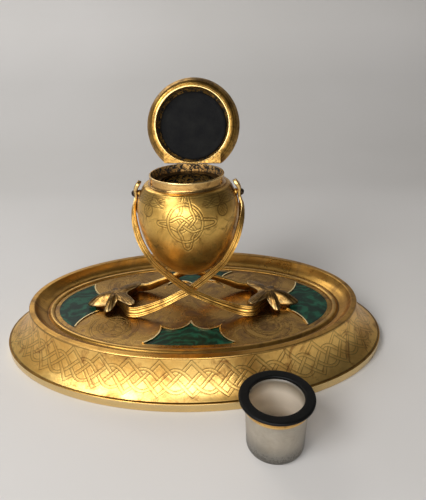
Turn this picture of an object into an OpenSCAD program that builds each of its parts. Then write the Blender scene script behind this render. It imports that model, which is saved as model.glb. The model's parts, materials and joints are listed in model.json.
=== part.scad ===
// Desk inkstand: an oval tray inlaid with stone, a round pot hung in two crossed
// straps, a hinged lid and a glass liner that lifts out and stands beside the tray.
// Origin: centre of the tray's underside. X runs along the tray, -Y is the front.

/* [Tray] */
// Half length of the tray at its foot
foot_a = 150; // [140:0.5:165]
// Half width of the tray at its foot
foot_b = 94.5; // [90:0.5:105]
// Half length of the tray at its rim
rim_a = 129.3; // [127:0.1:134]
// Half width of the tray at its rim
rim_b = 81.6; // [80:0.1:86]
// Height of the rim above the desk
rim_z = 33.5; // [32:0.1:38]
// Height of the plain band round the foot
band_h = 6.8; // [4:0.1:10]
// Width of the flat lip on top of the rim
lip_w = 3.8; // [2.5:0.1:4.5]
// Thickness of the cast wall
cast_t = 3; // [2.5:0.1:4]
// Height of the tray's floor above the desk
floor_z = 25.2; // [24:0.1:26]
// Half length of the stone field in the floor
field_a = 107.7; // [105:0.1:109]
// Half width of the stone field in the floor
field_b = 56.6; // [54:0.1:58]

/* [Floor and stone] */
// Thickness of the floor plate
floor_t = 3.3; // [3:0.1:4]
// Depth of the pockets that hold the stone
pocket_d = 2; // [1.5:0.1:2.2]
// Thickness of a stone panel
stone_t = 1.9; // [1.2:0.1:1.9]
// Gap between a stone panel and its pocket
stone_gap = 0.15; // [0.1:0.05:0.3]
// Width of the raised fillet along a scalloped edge
fillet_w = 1; // [0.6:0.1:1.1]
// Height of the raised fillet above the floor
fillet_h = 0.8; // [0.4:0.1:1.2]
// Radius of the two middle scallops of a long panel
mid_scallop_r = 13.4; // [13.2:0.1:13.8]
// Distance of a middle scallop's centre from the tray's middle, along X
mid_scallop_x = 12.8; // [12.6:0.1:13]
// Distance of a middle scallop's centre from the tray's middle, along Y
mid_scallop_y = 24.3; // [23:0.1:25]
// Radius of the two outer scallops of a long panel
end_scallop_r = 19.3; // [19:0.1:20]
// Distance of an outer scallop's centre from the tray's middle, along X
end_scallop_x = 40.8; // [40:0.1:41.5]
// Distance of an outer scallop's centre from the tray's middle, along Y
end_scallop_y = 36.5; // [36:0.1:37.5]
// Radius of the scallop round a medallion, at the end panels
medal_r = 31; // [30:0.1:32]
// Distance of a medallion's centre from the tray's middle, along X
medal_x = 57; // [56:0.1:58]
// Distance of a medallion's centre from the tray's middle, along Y
medal_y = 35.4; // [34.5:0.1:36]
// Radius of the scallop under a leaf clip
leaf_scallop_r = 17; // [15:0.1:18]
// Number of screws that hold the floor plate
floor_screws_n = 8; // [6:2:12]
// Shank radius of a floor screw
floor_screw_r = 1.25; // [1:0.05:1.5]

/* [Pot] */
// Largest radius of the pot
pot_r = 37.2; // [36.6:0.1:37.8]
// Height of the pot's widest point above the desk
pot_belly_z = 107; // [106:0.1:108]
// Height from the pot's lowest point to its widest
pot_low_h = 52; // [46:0.5:54]
// Half height of the oval that the shoulder follows
pot_top_h = 35; // [34:0.1:36]
// Thickness of the pot's wall
pot_t = 2.2; // [1.6:0.1:3]
// Height of the shoulder's top, where the neck stands
neck_z = 126.8; // [126.4:0.1:127]
// Outer radius of the neck
neck_r = 26.9; // [26:0.1:27]
// Thickness of the neck's wall
neck_t = 1.4; // [1:0.1:1.8]
// Height of the neck above the shoulder
neck_h = 6.9; // [6:0.1:7]
// Radius of the hole that the liner hangs in
seat_r = 19.4; // [18.8:0.1:20]
// Thickness of the liner's seat
seat_t = 1.2; // [1:0.1:1.5]

/* [Hanging] */
// Height of the trunnions above the desk
trunnion_z = 119; // [118:0.1:120]
// Radius of a trunnion stud
stud_r = 1.5; // [1.2:0.05:1.8]
// How far the face of a trunnion boss stands inside the pot's largest radius
boss_set = 1.3; // [1.1:0.05:1.4]
// Thickness of the washer between the boss and the strap
washer_t = 0.4; // [0.3:0.05:0.6]
// Thickness of a strap
strap_t = 2; // [1.6:0.1:2.1]
// Width of a strap at the trunnion
strap_top_w = 4.6; // [4.2:0.1:5.2]
// Width of a strap at its foot
strap_foot_w = 8.2; // [7.8:0.1:8.8]
// Distance of the outer strap's face centre from the middle, where the straps cross
cross_outer_y = 19.5; // [19.3:0.1:19.8]
// Clearance between the straps where they cross
cross_gap = 0.5; // [0.4:0.05:0.7]
// Height of a domed nut
nut_h = 2.4; // [2:0.1:3.5]
// Radius of a domed nut
nut_r = 2.6; // [2.3:0.1:3]

/* [Leaf clips] */
// Distance of a leaf's middle from the tray's middle
leaf_x = 61; // [60.5:0.1:61.5]
// Height of a leaf's crown above the desk
leaf_z = 37.5; // [37:0.1:40]
// Thickness of a leaf
leaf_t = 1.5; // [1.2:0.1:1.8]
// Radius of a leaf screw's shank
leaf_screw_r = 1.5; // [1.2:0.05:1.7]

/* [Lid] */
// Radius inside the lid
lid_in_r = 27.6; // [27.5:0.05:27.9]
// Largest radius of the lid
lid_r = 36.2; // [35:0.1:37]
// Height of the lid's mouth above the desk, when shut
mouth_z = 127.8; // [127.6:0.1:128.2]
// Height of the lid's widest band above its mouth
lid_band_z = 6.5; // [5:0.1:8]
// Height of the widest band
lid_band_h = 2.6; // [2:0.1:4]
// Height of the dome above the band
dome_h = 12.5; // [8:0.5:18]
// Distance of the flat back of the lid from the lid's axis
lid_back_y = 28.8; // [28.7:0.05:29]
// How far the lid is opened
open_angle = 107; // [100:1:110]
// Radius of the pad in the lid
pad_r = 25.8; // [24:0.1:26.5]
// Thickness of the pad in the lid
pad_t = 2.5; // [1.5:0.1:2.8]
// How far round from the pot's back the hinge stands, in degrees
lid_turn = 4; // [0:0.5:5]
// Distance of the hinge pin from the pot's axis
hinge_y = 31.3; // [31.2:0.05:31.8]
// Height of the hinge pin above the desk, when shut
hinge_z = 130; // [129.9:0.05:130.4]
// Radius of a hinge knuckle
knuckle_r = 2.1; // [1.9:0.05:2.15]
// Radius of the hinge pin
pin_r = 1; // [0.8:0.05:1.2]
// Half width of the lid's hinge leaf
hinge_leaf_w = 22; // [18:0.5:24]
// Running clearance round a pin or a stud
run_gap = 0.06; // [0.03:0.01:0.1]

/* [Liner] */
// Distance of the standing liner from the tray's middle, along X
liner_x = 54.8; // [40:0.1:70]
// Distance of the standing liner in front of the tray's middle
liner_y = 119.6; // [118:0.1:135]
// Height of the liner
liner_h = 37.2; // [32:0.1:42]
// Radius of the glass at its top
glass_r = 18.2; // [17.8:0.1:18.4]
// Radius of the glass at its foot
glass_foot_r = 17.2; // [14:0.1:17.6]
// Thickness of the glass
glass_t = 2.6; // [2:0.1:3]
// Outer radius of the black ring
ring_r = 21.9; // [21:0.1:23]
// Thickness of the black ring
ring_t = 2; // [1.5:0.1:3]
// Outer radius of the brass collar
collar_r = 19.2; // [18.9:0.1:19.3]
// Height of the brass collar
collar_h = 4.6; // [3:0.1:6]

/* [Hidden] */
$fn = 64;
gilt = [0.74, 0.57, 0.27];
worn_gilt = [0.58, 0.43, 0.22];
stone_green = [0.05, 0.27, 0.21];
black = [0.07, 0.07, 0.08];

oval_sides = 96;
edge_r = 0.6;
skirt_steps = 8;
skirt_from = 20;
skirt_to = 80;
wall_d = 11.8;
groove_d = 12.7;
bead_d = 13.4;
bead_w = 4.9;
bead_h = 1.8;
bead_steps = 6;
ledge_z = floor_z - 2.3;
ledge_d = 8.8;
field_d = bead_d + bead_w;
plate_gap = 0.15;
flange_d = 12.5;
flange_t = 2;
flange_w = 10;
pocket_z = floor_z - pocket_d;
screw_d = 15.4;
screw_head_h = 1.4;
screw_gap = 0.05;
screw_bite = 2.3;

boss_x = pot_r - boss_set;
hang_x = boss_x + washer_t;
strap_mid_x = hang_x + strap_t / 2 + 0.1;
tab_t = strap_t + 0.2;
tab_r = 3.5;
cross_span = 22;
tab_low = 3;
tab_w = 7;
tab_bend = 3;
tab_lean = 30;
tongue_h = 3.9;
boss_r = 2.5;
boss_in = 3.5;
nut_gap = 0.1;
nut_x = hang_x + tab_t + nut_gap;
strap_steps = 4;
foot_z = floor_z + strap_foot_w / 2;
pin_half = 12.3;
lug_in = 5;
lug_out = 12;
knuckle_gap = 0.3;
bracket_top = 127.5;
bracket_z = 125.4;
bracket_front = 28.2;
lid_ceiling = mouth_z + 8.9;
dome_t = 2;
dome_in_r = 22;
hinge_leaf_t = 1.2;
leaf_front = 17.5;
leaf_fit = 0.04;

// Half length and half width of the oval at a distance d inside the rim
function inner_a(d) = rim_a - d;
function inner_b(d) = rim_b - d * (rim_b - field_b) / (rim_a - field_a);

// Point number i of n on an oval
function oval_point(a, b, i, n) = [a * cos(360 * i / n), b * sin(360 * i / n)];
function oval_points(a, b) = [for (i = [0:oval_sides - 1]) oval_point(a, b, i, oval_sides)];

// Two triangles for each quad between ring k and ring m of n points
function band_faces(k, m, n) = [
    for (i = [0:n - 1])
        let (j = (i + 1) % n)
        each [[k * n + i, m * n + i, m * n + j], [k * n + i, m * n + j, k * n + j]]
];

// A closed ring whose section is a list of [half length, half width, height]
module oval_ring(section) {
    m = len(section);
    points = [for (s = section) for (p = oval_points(s[0], s[1])) [p[0], p[1], s[2]]];
    faces = [for (k = [0:m - 1]) each band_faces(k, (k + 1) % m, oval_sides)];
    polyhedron(points, faces);
}

module oval_slab(a, b, z, h) {
    translate([0, 0, z]) linear_extrude(h) polygon(oval_points(a, b));
}

// Skirt: a hollow curve, steep under the rim and flaring out to the band
function skirt_out(u) = 1 - (sin(u) - sin(skirt_from)) / (sin(skirt_to) - sin(skirt_from));
function skirt_up(u) = (cos(skirt_from) - cos(u)) / (cos(skirt_from) - cos(skirt_to));
function skirt_ring(u, wall) = [
    rim_a - wall + (foot_a - 1.5 - rim_a) * skirt_out(u),
    rim_b - wall + (foot_b - 1.5 - rim_b) * skirt_out(u),
    band_h + (rim_z - edge_r - band_h) * skirt_up(u)
];
function skirt_angle(i) = skirt_from + (skirt_to - skirt_from) * i / skirt_steps;

module base_shape() {
    section = [
        [foot_a - cast_t - 1, foot_b - cast_t - 1, 0],
        [foot_a - edge_r, foot_b - edge_r, 0],
        [foot_a, foot_b, edge_r],
        [foot_a, foot_b, band_h - edge_r],
        [foot_a - edge_r, foot_b - edge_r, band_h - 0.1],
        for (i = [0:skirt_steps]) skirt_ring(skirt_angle(i), 0),
        [rim_a - edge_r, rim_b - edge_r, rim_z],
        [inner_a(lip_w), inner_b(lip_w), rim_z],
        [inner_a(lip_w + 0.9), inner_b(lip_w + 0.9), rim_z - 1],
        [inner_a(lip_w + 2.6), inner_b(lip_w + 2.6), rim_z - 3.9],
        [inner_a(lip_w + 5), inner_b(lip_w + 5), rim_z - 6.1],
        [inner_a(wall_d), inner_b(wall_d), floor_z + 1],
        [inner_a(groove_d), inner_b(groove_d), floor_z + 0.2],
        for (i = [0:bead_steps])
            let (d = bead_d + bead_w * i / bead_steps)
            [inner_a(d), inner_b(d), floor_z + 0.3 + (bead_h - 0.3) * sin(180 * i / bead_steps)],
        [inner_a(field_d), inner_b(field_d), ledge_z],
        [inner_a(ledge_d), inner_b(ledge_d), ledge_z],
        [inner_a(lip_w + 1.5), inner_b(lip_w + 1.5), rim_z - cast_t - 3.5],
        for (i = [skirt_steps - 2:-1:0]) skirt_ring(skirt_angle(i), cast_t)
            - [0, 0, i == 0 ? 1.5 : 0.9]
    ];
    oval_ring(section);
}

function screw_angle(i) = 360 * (i + 0.5) / floor_screws_n;
function screw_at(i) = [
    inner_a(screw_d) * cos(screw_angle(i)),
    inner_b(screw_d) * sin(screw_angle(i)),
    0
];

module base_casting() {
    color(gilt) difference() {
        base_shape();
        for (i = [0:floor_screws_n - 1])
            translate(screw_at(i) + [0, 0, ledge_z - 1])
                cylinder(h = 1 + screw_bite, r = floor_screw_r + screw_gap);
    }
}

// Long panel, in front or behind: scalloped towards the pot, oval outside
module long_panel(side, z, h, grow, trim) {
    difference() {
        intersection() {
            oval_slab(field_a + trim, field_b + trim, z, h);
            translate([-end_scallop_x, side > 0 ? mid_scallop_y + 2 : -field_b - 5, z - 1])
                cube([2 * end_scallop_x, field_b + 3 - mid_scallop_y, h + 2]);
        }
        for (s = [-1, 1]) {
            translate([s * end_scallop_x, side * end_scallop_y, z - 2])
                cylinder(h = h + 4, r = end_scallop_r - grow);
            translate([s * mid_scallop_x, side * mid_scallop_y, z - 2])
                cylinder(h = h + 4, r = mid_scallop_r - grow);
        }
    }
}

// End panel, left or right: bounded by two medallions and the leaf's scallop
module end_panel(side, z, h, grow, trim) {
    difference() {
        intersection() {
            oval_slab(field_a + trim, field_b + trim, z, h);
            translate([side > 0 ? leaf_x : -field_a - 5, -field_b, z - 1])
                cube([field_a + 5 - leaf_x, 2 * field_b, h + 2]);
        }
        for (s = [-1, 1])
            translate([side * medal_x, s * medal_y, z - 2])
                cylinder(h = h + 4, r = medal_r - grow);
        translate([side * (leaf_x + 1), 0, z - 2])
            cylinder(h = h + 4, r = leaf_scallop_r - grow);
    }
}

module tray_floor() {
    color(worn_gilt) difference() {
        union() {
            oval_slab(inner_a(field_d) - plate_gap, inner_b(field_d) - plate_gap,
                floor_z - floor_t, floor_t);
            difference() {
                oval_slab(inner_a(flange_d), inner_b(flange_d), ledge_z - flange_t, flange_t);
                oval_slab(inner_a(flange_d + flange_w), inner_b(flange_d + flange_w),
                    ledge_z - flange_t - 1, flange_t - floor_t + floor_z - ledge_z + 1.5);
            }
            for (side = [-1, 1]) {
                long_panel(side, floor_z - 1, fillet_h + 1, fillet_w, -0.6);
                end_panel(side, floor_z - 1, fillet_h + 1, fillet_w, -0.6);
            }
        }
        for (side = [-1, 1]) {
            long_panel(side, pocket_z, pocket_d + 5, 0, 0);
            end_panel(side, pocket_z, pocket_d + 5, 0, 0);
            translate([side * leaf_screw_x, 0, 0])
                cylinder(h = floor_z + 5, r = leaf_screw_r + 0.1);
        }
        for (i = [0:floor_screws_n - 1])
            translate(screw_at(i)) cylinder(h = ledge_z + 0.5, r = floor_screw_r + 0.1);
    }
}

module stone_panel(side, long) {
    color(stone_green) {
        if (long) long_panel(side, pocket_z, stone_t, -stone_gap, -stone_gap);
        else end_panel(side, pocket_z, stone_t, -stone_gap, -stone_gap);
    }
}
module malachite_front() { stone_panel(-1, true); }
module malachite_back() { stone_panel(1, true); }
module malachite_left() { stone_panel(-1, false); }
module malachite_right() { stone_panel(1, false); }

// A screw driven upwards from below: a low head, then the shank
module up_screw(r, head_r, top, face_z) {
    translate([0, 0, face_z - screw_head_h]) cylinder(h = screw_head_h, r = head_r);
    translate([0, 0, face_z - 0.5]) cylinder(h = top - face_z + 0.5, r = r);
}

module floor_screws() {
    color(worn_gilt)
        for (i = [0:floor_screws_n - 1])
            translate(screw_at(i))
                up_screw(floor_screw_r, floor_screw_r * 1.8, ledge_z + screw_bite - 0.2,
                    ledge_z - flange_t);
}

// The route is drawn round a pot of radius route_pot_r, and grows with the pot.
route_pot_r = 37.2;
belly = pot_r / route_pot_r;
// Strap route from the trunnion to the middle of its foot. A point holds x, y and z
// of the strap's middle, the direction that its face looks in, and its width.
strap_route = [
    [-strap_mid_x, 0.4, trunnion_z + 1, 175, strap_top_w],
    [-strap_mid_x - 0.15, -0.9, trunnion_z - tab_low, 180, strap_top_w],
    [-39.4 * belly, -4.3 * belly, 110, 205, strap_top_w],
    [-38.8 * belly, -9.6 * belly, 103, 232, strap_top_w],
    [-36.9 * belly, -14.3 * belly, 95.5, 252, strap_top_w],
    [-34.2 * belly, -17.2 * belly, 87.5, 264, strap_top_w],
    [-30.1 * belly, -19 * belly, 79.5, 270, strap_top_w],
    [-24.3 * belly, -19.4 * belly, 70.5, 270, strap_top_w + 0.2],
    [-13.4, -cross_outer_y, 59.5, 270, strap_top_w + 0.8],
    [0, -cross_outer_y, 48, 270, strap_top_w + 1.4],
    [8.5, -cross_outer_y, 43.2, 270, strap_top_w + 1.4],
    [17.5, -cross_outer_y, 38.6, 270, strap_foot_w - 2.4],
    [28, -cross_outer_y, 34.2, 270, strap_foot_w - 1.2],
    [37, -19, foot_z + 1.3, 270, strap_foot_w - 0.4],
    [44, -19.2, foot_z, 270, strap_foot_w],
    [48.6, -18.2, foot_z, 292, strap_foot_w],
    [51, -14.8, foot_z, 318, strap_foot_w],
    [56, -7.2, foot_z, 324, strap_foot_w],
    [59.8, -2.4, foot_z, 336, strap_foot_w],
    [61, 0, foot_z, 360, strap_foot_w],
    [59.8, 2.4, foot_z, 384, strap_foot_w]
];
// The inner leg is set in by one strap and the clearance where the two cross
function inner_shift(x) = (strap_t + cross_gap) * cos(90 * min(1, abs(x) / cross_span));
function leg_point(k, inner) = let (p = strap_route[k])
    [p[0], p[1] + (inner ? inner_shift(p[0]) : 0), p[2], p[3], p[4]];

// Smooth curve through four neighbours
function glide(a, b, c, d, t) =
    b + (c - a) * t / 2 + (2 * a - 5 * b + 4 * c - d) * t * t / 2
    + (3 * b - a - 3 * c + d) * t * t * t / 2;
function on_floor(p) = [p[0], p[1], max(foot_z, p[2]), p[3], min(strap_foot_w, p[4])];
function leg_station(k, t, inner) = on_floor(
    glide(leg_point(k - 1, inner), leg_point(k, inner), leg_point(k + 1, inner),
        leg_point(k + 2, inner), t));
function unit(v) = v / norm(v);
function xyz(p) = [p[0], p[1], p[2]];

// The four corners of the strap at a station, with the run's direction
function corners(p, run) =
    let (look = [cos(p[3]), sin(p[3]), 0],
        across = unit(cross(run, look)),
        out = unit(cross(across, run)),
        w = across * p[4] / 2,
        h = out * strap_t / 2,
        c = xyz(p))
    [c + w + h, c + w - h, c - w - h, c - w + h];

module strap_leg(inner) {
    last = len(strap_route) - 2;
    stations = concat(
        [for (k = [1:last - 1]) for (s = [0:strap_steps - 1]) [k, s / strap_steps]],
        [[last - 1, 1]]);
    step = 0.02;
    rings = [for (s = stations)
        let (p = leg_station(s[0], s[1], inner),
            ahead = leg_station(s[0], min(1, s[1] + step), inner),
            behind = leg_station(s[0], max(0, s[1] - step), inner))
        corners(p, s == [last - 1, 1] ? [0, 1, 0] : unit(xyz(ahead) - xyz(behind)))];
    n = len(rings);
    points = [for (r = rings) each r];
    faces = concat(
        [for (k = [0:n - 2]) each band_faces(k, k + 1, 4)],
        [[0, 1, 2], [0, 2, 3]],
        [[4 * n - 1, 4 * n - 2, 4 * n - 3], [4 * n - 1, 4 * n - 3, 4 * n - 4]]);
    polyhedron(points, faces);
}

// Flat tab that the trunnion passes through, and the tongue above it
module strap_tab() {
    translate([-hang_x - tab_t, 0, trunnion_z]) rotate([0, 90, 0])
        cylinder(h = tab_t, r = tab_r);
    translate([-hang_x - tab_t, -tab_w / 2, trunnion_z - tab_low - 0.3])
        cube([tab_t, tab_w, tab_low + 0.3]);
    translate([-hang_x - tab_t + 0.05, 0, trunnion_z + tab_bend - 0.2]) rotate([0, tab_lean, 0]) {
        translate([0, -tab_w / 2, 0]) cube([strap_t, tab_w, tongue_h]);
        translate([0, 0, tongue_h]) rotate([0, 90, 0])
            cylinder(h = strap_t, r = tab_w / 2);
    }
}

module strap() {
    color(gilt) difference() {
        union() {
            strap_tab();
            strap_leg(false);
            mirror([0, 1, 0]) strap_leg(true);
        }
        translate([-hang_x - tab_t - 5, 0, trunnion_z]) rotate([0, 90, 0])
            cylinder(h = tab_t + 5 + 1, r = stud_r + run_gap);
    }
}
module strap_left() { strap(); }
module strap_right() { rotate([0, 0, 180]) strap(); }

// Leaf clip: five lobes round a crown, two of them resting on the strap's corners
leaf_screw_x = leaf_x - 4.5;
leaf_sides = 72;
leaf_rings = 6;
leaf_core = 7.5;
leaf_boss_h = 7;
leaf_tip = 23.6;
leaf_arm = 24;
leaf_side = 16.5;
// Each lobe's direction, reach and spread
leaf_lobes = [[-7, leaf_tip, 17], [-55, leaf_side, 13], [55, leaf_side, 13],
    [-133, leaf_arm, 12], [133, leaf_arm, 12]];
function turn_gap(a, b) = abs(((a - b + 540) % 360) - 180);
function bump(a, lobe) = (lobe[1] - leaf_core) * exp(-pow(turn_gap(a, lobe[0]) / lobe[2], 2));
function leaf_reach(a) = leaf_core + max([for (lobe = leaf_lobes) bump(a, lobe)]);
function outward(a) = max(0, min(1, (cos(a) + 0.3) / 0.5));
function leaf_drop(a) = 2.1 + (leaf_z - floor_z - leaf_t - fillet_h - 0.3 - 2.1) * outward(a);
function leaf_top(a, f) = leaf_z - leaf_drop(a) * pow(f, 1.7);
function leaf_angle(i) = 360 * i / leaf_sides;

module leaf_sheet() {
    rings = [for (lower = [0, 1]) for (k = [0:leaf_rings - 1])
        let (f = (lower == 0 ? k + 1 : leaf_rings - k) / leaf_rings)
        [for (i = [0:leaf_sides - 1])
            let (a = leaf_angle(i), r = leaf_reach(a) * f)
            [r * cos(a), r * sin(a), leaf_top(a, f) - lower * leaf_t]]];
    m = len(rings);
    crown = m * leaf_sides;
    points = concat([for (r = rings) each r], [[0, 0, leaf_z], [0, 0, leaf_z - leaf_t]]);
    faces = concat(
        [for (k = [0:m - 2]) for (t = band_faces(k, k + 1, leaf_sides)) [t[2], t[1], t[0]]],
        [for (i = [0:leaf_sides - 1]) [crown, (i + 1) % leaf_sides, i]],
        [for (i = [0:leaf_sides - 1])
            [crown + 1, (m - 1) * leaf_sides + i, (m - 1) * leaf_sides + (i + 1) % leaf_sides]]);
    polyhedron(points, faces);
}

module leaf_clip() {
    boss_low = leaf_z - leaf_boss_h;
    color(gilt) difference() {
        union() {
            translate([leaf_x, 0, 0]) leaf_sheet();
            translate([leaf_screw_x, 0, boss_low])
                cylinder(h = leaf_z - leaf_t + 0.3 - boss_low, r = leaf_screw_r + 1);
        }
        translate([leaf_screw_x, 0, boss_low - 1])
            cylinder(h = leaf_boss_h - 2, r = leaf_screw_r + screw_gap);
    }
}
module leaf_clip_right() { leaf_clip(); }
module leaf_clip_left() { mirror([1, 0, 0]) leaf_clip(); }

module leaf_screws() {
    color(worn_gilt)
        for (side = [-1, 1])
            translate([side * leaf_screw_x, 0, 0])
                up_screw(leaf_screw_r, leaf_screw_r * 2, leaf_z - leaf_boss_h / 2 + 0.2, floor_z - floor_t);
}

// Outline of the pot: a quarter oval below the belly, part of another above it
pot_steps = 20;
shoulder_steps = 8;
shoulder_top = neck_z - 1.4;
function low_r(z, r, h) = r * sqrt(max(0, 1 - pow((pot_belly_z - z) / h, 2)));
function pot_curve(r, low_h, top_h, z_top) = concat(
    [for (i = [0:pot_steps]) let (a = 90 * i / pot_steps)
        [r * sin(a), pot_belly_z - low_h * cos(a)]],
    [for (i = [1:shoulder_steps]) let (z = pot_belly_z + (z_top - pot_belly_z) * i / shoulder_steps)
        [low_r(2 * pot_belly_z - z, r, top_h), z]]);

module pot_body() {
    mouth_r = neck_r - neck_t - 1.2;
    outside = pot_curve(pot_r, pot_low_h, pot_top_h, shoulder_top);
    inside = pot_curve(pot_r - pot_t, pot_low_h - pot_t, pot_top_h - pot_t, shoulder_top - pot_t);
    color(gilt) difference() {
        union() {
            rotate_extrude() polygon(concat(
                outside,
                [[outside[len(outside) - 1][0] - 1.1, neck_z - 0.4], [neck_r + 1.2, neck_z]],
                [[mouth_r, neck_z], [mouth_r, neck_z - pot_t]],
                [for (i = [len(inside) - 1:-1:0]) inside[i]]));
            for (s = [-1, 1])
                translate([s > 0 ? boss_x - boss_in : -boss_x, 0, trunnion_z])
                    rotate([0, 90, 0]) cylinder(h = boss_in, r = boss_r);
        }
        translate([-pot_r, 0, trunnion_z]) rotate([0, 90, 0])
            cylinder(h = 2 * pot_r, r = stud_r + screw_gap);
        turned() translate([-lug_out - 0.05, bracket_front - 0.05, bracket_z - 0.05])
            cube([2 * lug_out + 0.1, lug_out, lug_out]);
    }
}

module neck_ring() {
    color(gilt) translate([0, 0, neck_z]) difference() {
        union() {
            cylinder(h = neck_h - 0.3, r = neck_r);
            cylinder(h = neck_h, r = neck_r - 0.3);
        }
        translate([0, 0, -1]) cylinder(h = neck_h + 2, r = neck_r - neck_t);
    }
}

module liner_seat() {
    color(worn_gilt) translate([0, 0, neck_z]) difference() {
        cylinder(h = seat_t, r = neck_r - neck_t - 0.1);
        translate([0, 0, -1]) cylinder(h = seat_t + 2, r = seat_r);
    }
}

// Trunnions: a stud screwed into each boss, a washer, and a domed nut outside the strap
module both_sides() {
    for (s = [0, 180])
        rotate([0, 0, s]) translate([0, 0, trunnion_z]) rotate([0, 90, 0]) children();
}
module trunnion_studs() {
    stud_in = boss_x - boss_in + 0.5;
    color(worn_gilt) both_sides()
        translate([0, 0, stud_in]) cylinder(h = nut_x + nut_h - 1 - stud_in, r = stud_r);
}
module trunnion_washers() {
    color(worn_gilt) both_sides() translate([0, 0, boss_x]) difference() {
        cylinder(h = washer_t - 0.1, r = boss_r - 0.2);
        translate([0, 0, -1]) cylinder(h = 3, r = stud_r + screw_gap);
    }
}
module trunnion_nuts() {
    dome_r = (nut_r * nut_r + nut_h * nut_h) / (2 * nut_h);
    color(black) both_sides() difference() {
        translate([0, 0, nut_x]) rotate_extrude()
            polygon(concat([[0, 0], [nut_r, 0], [nut_r, 0.6]],
                [for (a = [15:15:90]) [nut_r * cos(a), 0.6 + (nut_h - 0.6) * sin(a)]]));
        translate([0, 0, nut_x - 1]) cylinder(h = nut_h + 0.2, r = stud_r + screw_gap);
    }
}

// The hinge and the lid stand a little round from the pot's back
module turned() { rotate([0, 0, -lid_turn]) children(); }

// Hinge: two knuckles on a bracket let into the shoulder, one on the lid's leaf
module hinge_bracket() {
    color(gilt) turned() difference() {
        union() {
            translate([-lug_out, bracket_front, bracket_z])
                cube([2 * lug_out, hinge_y + knuckle_r - bracket_front, bracket_top - bracket_z]);
            for (s = [-1, 1])
                translate([s > 0 ? lug_in : -lug_out, hinge_y - 1.4, bracket_top - 0.5])
                    cube([lug_out - lug_in, knuckle_r + 1.4, hinge_z - bracket_top + 0.5]);
            for (s = [-1, 1])
                translate([s > 0 ? lug_in : -lug_out, hinge_y, hinge_z]) rotate([0, 90, 0])
                    cylinder(h = lug_out - lug_in, r = knuckle_r);
        }
        translate([-lug_out - 1, hinge_y, hinge_z]) rotate([0, 90, 0])
            cylinder(h = 2 * lug_out + 2, r = pin_r + 0.02);
    }
}
module hinge_pin() {
    color(worn_gilt) turned() translate([-pin_half, hinge_y, hinge_z]) rotate([0, 90, 0])
        cylinder(h = 2 * pin_half, r = pin_r);
}

// The lid's pieces are drawn shut and then swung open about the pin
module opened() {
    turned() translate([0, hinge_y, hinge_z]) rotate([-open_angle, 0, 0])
        translate([0, -hinge_y, -hinge_z]) children();
}

module lid_shell() {
    mouth_out = lid_in_r + 1.6;
    flare_steps = 6;
    dome_steps = 12;
    band_top = lid_band_z + lid_band_h;
    ceiling = lid_ceiling - mouth_z;
    inner_h = dome_h - dome_t - (ceiling - band_top);
    color(gilt) opened() difference() {
        translate([0, 0, mouth_z]) rotate_extrude() polygon(concat(
            [[lid_in_r, 1.4], [lid_in_r + 0.8, 0], [mouth_out, 0]],
            [for (i = [1:flare_steps]) let (a = 90 * i / flare_steps)
                [mouth_out + (lid_r - 0.5 - mouth_out) * sin(a * 0.9) / sin(81),
                    lid_band_z * (1 - cos(a * 0.9)) / (1 - cos(81))]],
            [[lid_r, lid_band_z + 0.4], [lid_r, band_top - 0.4], [lid_r - 0.5, band_top]],
            [for (i = [1:dome_steps]) let (a = 90 * i / dome_steps)
                [(lid_r - 0.5) * cos(a), band_top + dome_h * sin(a)]],
            [for (i = [0:dome_steps - 1]) let (a = 90 - 90 * i / dome_steps)
                [dome_in_r * cos(a), ceiling + inner_h * sin(a)]],
            [[dome_in_r, ceiling], [lid_in_r, ceiling]]));
        translate([-lid_r, lid_back_y, mouth_z - hinge_leaf_t])
            cube([2 * lid_r, lid_r, 2 * lid_r]);
        translate([-hinge_leaf_w - leaf_fit, leaf_front - leaf_fit, mouth_z - hinge_leaf_t])
            cube([2 * (hinge_leaf_w + leaf_fit), lid_r, 2 * hinge_leaf_t + leaf_fit]);
    }
}

// Plate across the back of the lid's mouth, with the middle knuckle of the hinge
module lid_hinge_leaf() {
    color(gilt) opened() difference() {
        union() {
            difference() {
                translate([-hinge_leaf_w, leaf_front, mouth_z])
                    cube([2 * hinge_leaf_w, lid_back_y - 0.05 - leaf_front, hinge_leaf_t]);
                translate([0, 0, mouth_z - 0.1])
                    cylinder(h = hinge_leaf_t + 0.2, r1 = lid_in_r + 0.8, r2 = lid_in_r + 0.1);
            }
            translate([-lug_in + knuckle_gap, lid_back_y - 0.3, hinge_z - knuckle_r])
                cube([2 * (lug_in - knuckle_gap), hinge_y - lid_back_y + 0.3,
                    mouth_z + hinge_leaf_t - hinge_z + knuckle_r]);
            translate([-lug_in + knuckle_gap, hinge_y, hinge_z]) rotate([0, 90, 0])
                cylinder(h = 2 * (lug_in - knuckle_gap), r = knuckle_r);
        }
        translate([-pin_half, hinge_y, hinge_z]) rotate([0, 90, 0])
            cylinder(h = 2 * pin_half, r = pin_r + run_gap);
    }
}

module lid_pad() {
    color(black) opened() translate([0, 0, lid_ceiling - pad_t])
        cylinder(h = pad_t, r = pad_r);
}

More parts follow.
